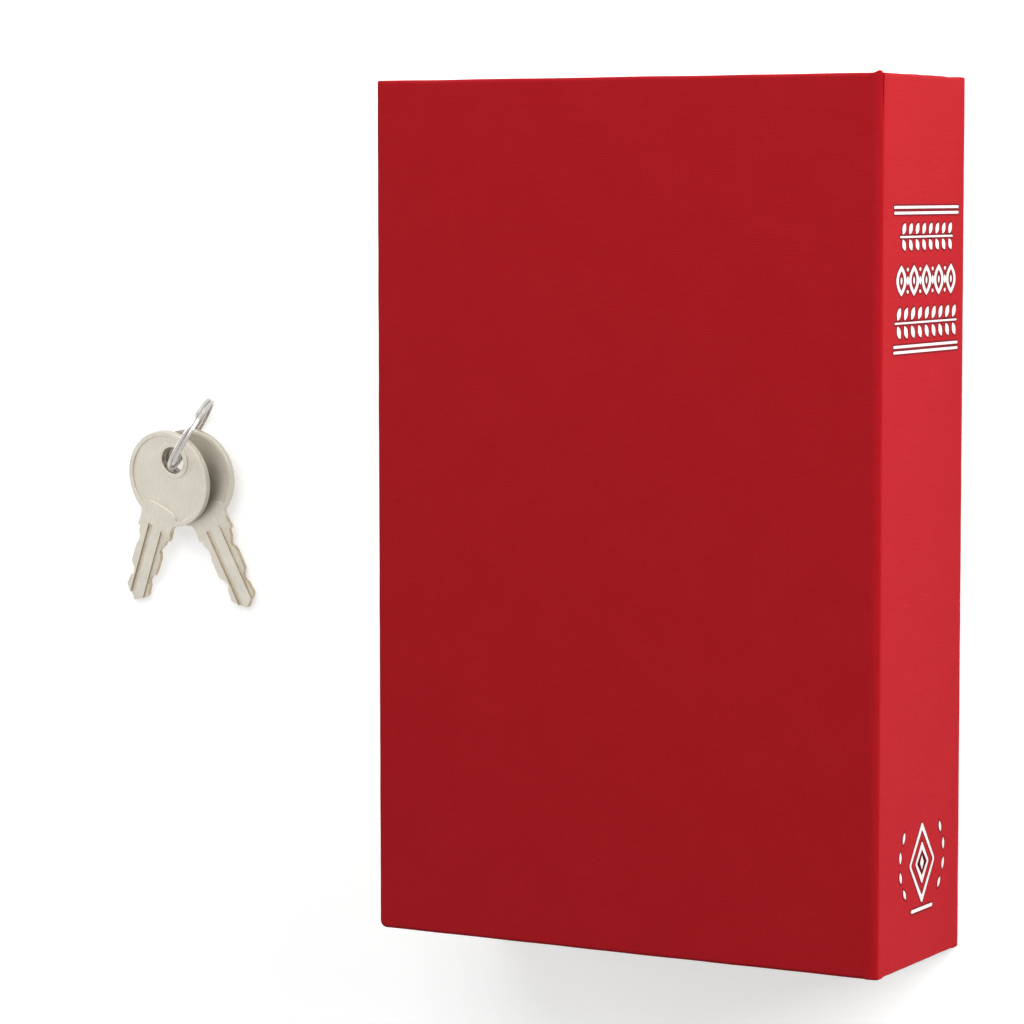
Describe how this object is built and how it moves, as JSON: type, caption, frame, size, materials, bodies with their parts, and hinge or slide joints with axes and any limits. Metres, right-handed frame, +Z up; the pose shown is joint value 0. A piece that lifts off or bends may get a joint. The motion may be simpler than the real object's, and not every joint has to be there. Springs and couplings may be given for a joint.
{
  "type": "book diversion safe",
  "caption": "Diversion safe disguised as a cloth-bound hardback book: a hinged cover over cut-away pages, a steel box with a keyed lid inside, and keys on a split ring",
  "frame": {"origin": "centre of the back cover's outer face, on the surface that the book lies on", "axes": "+Z up through the closed book, +X towards the spine, +Y towards the head of the book"},
  "size_m": [0.2785, 0.24, 0.055],
  "materials": {
    "cover_cloth": "fine linen book cloth, matte",
    "greyboard": "matte",
    "endpaper": "matte",
    "pages": "trimmed page edges",
    "box_enamel": "fine-textured powder coat",
    "zinc_steel": "zinc plated",
    "lock_chrome": "polished",
    "lock_brass": "machined",
    "key_nickel": "nickel plated brass, satin"
  },
  "bodies": {
    "case_and_box": {"back_cover_board": "greyboard", "back_cover_cloth": "cover_cloth", "back_endpaper": "endpaper", "back_joint_cloth": "cover_cloth", "front_joint_cloth": "cover_cloth", "spine_board": "greyboard", "spine_cloth": "cover_cloth", "head_pages": "pages", "tail_pages": "pages", "fore_edge_pages": "pages", "spine_pages": "pages", "box_tray": "box_enamel", "tray_hinge_leaf": "zinc_steel", "hinge_pin": "zinc_steel", "tray_rivet_1": "zinc_steel", "tray_rivet_2": "zinc_steel", "tray_rivet_3": "zinc_steel", "catch_bracket": "zinc_steel"},
    "front_cover": {"front_cover_board": "greyboard", "front_cover_cloth": "cover_cloth", "front_endpaper": "endpaper"},
    "lid": {"box_lid": "box_enamel", "lid_hinge_leaf": "zinc_steel", "lid_rivet_1": "zinc_steel", "lid_rivet_2": "zinc_steel", "lid_rivet_3": "zinc_steel", "lock_body": "lock_chrome", "lock_washer": "zinc_steel", "lock_nut": "zinc_steel"},
    "lock_core": {"lock_plug": "lock_brass", "lock_wafer_1": "lock_brass", "lock_wafer_2": "lock_brass", "lock_wafer_3": "lock_brass", "lock_wafer_4": "lock_brass", "lock_cam": "zinc_steel", "cam_washer": "zinc_steel", "cam_screw": "zinc_steel"},
    "key_ring": {"split_ring": "key_nickel"},
    "first_key": {"key_1": "key_nickel"},
    "second_key": {"key_2": "key_nickel"}
  },
  "joints": [
    {"name": "cover_hinge", "type": "hinge", "parent": "case_and_box", "child": "front_cover", "pos_m": [0.0765, 0, 0.054], "axis": [0, 1, 0], "range_deg": [0, 200], "deforming": ["front_joint_cloth"]},
    {"name": "lid_hinge", "type": "hinge", "parent": "case_and_box", "child": "lid", "pos_m": [0.06365, 0, 0.04705], "axis": [0, 1, 0], "range_deg": [0, 110]},
    {"name": "lock_turn", "type": "hinge", "parent": "lid", "child": "lock_core", "pos_m": [-0.0415, 0, 0.0357], "axis": [0, 0, 1], "range_deg": [0, 90]},
    {"name": "ring_lift", "type": "slide", "parent": "case_and_box", "child": "key_ring", "axis": [0, 0, 1], "range_m": [0, 0.1]},
    {"name": "key_1_swing", "type": "hinge", "parent": "key_ring", "child": "first_key", "pos_m": [-0.17771, 0.0076, 0.00911], "axis": [0.077, 0.1651, -0.9833], "range_deg": [0, 25]},
    {"name": "key_2_swing", "type": "hinge", "parent": "key_ring", "child": "second_key", "pos_m": [-0.1781, 0.00783, 0.00429], "axis": [0.0363, -0.0778, 0.9963], "range_deg": [0, 25]}
  ],
  "couplings": [
    {"joint": "lid_hinge", "follows": "cover_hinge", "ratio": 0.55}
  ]
}
